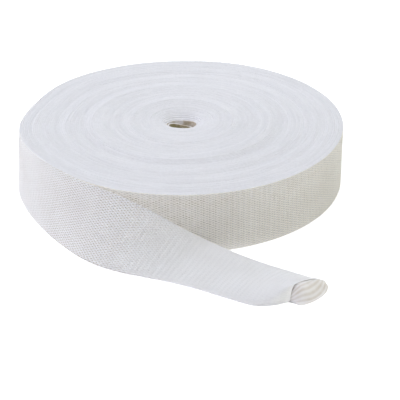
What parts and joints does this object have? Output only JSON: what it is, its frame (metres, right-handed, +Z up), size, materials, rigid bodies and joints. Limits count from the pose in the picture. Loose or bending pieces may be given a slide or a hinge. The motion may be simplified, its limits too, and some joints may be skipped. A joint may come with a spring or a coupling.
{
  "type": "tubular bandage roll",
  "caption": "Flat knitted bandage tube wound into a coreless roll that lies on its side, with a loose end that turns over onto the surface and opens in a mouth.",
  "frame": {"origin": "on the surface that the roll lies on, under the middle of the part's box", "axes": "+Z up, along the axis that the tape is wound round; -Y towards the side on which the loose end runs out; +X the way its mouth points"},
  "size_m": [0.1588, 0.2012, 0.0309],
  "materials": {
    "bandage_knit": "matte bleached cotton jersey knit"
  },
  "bodies": {
    "root": {"wound_roll": "bandage_knit", "loose_end": "bandage_knit"}
  },
  "joints": []
}
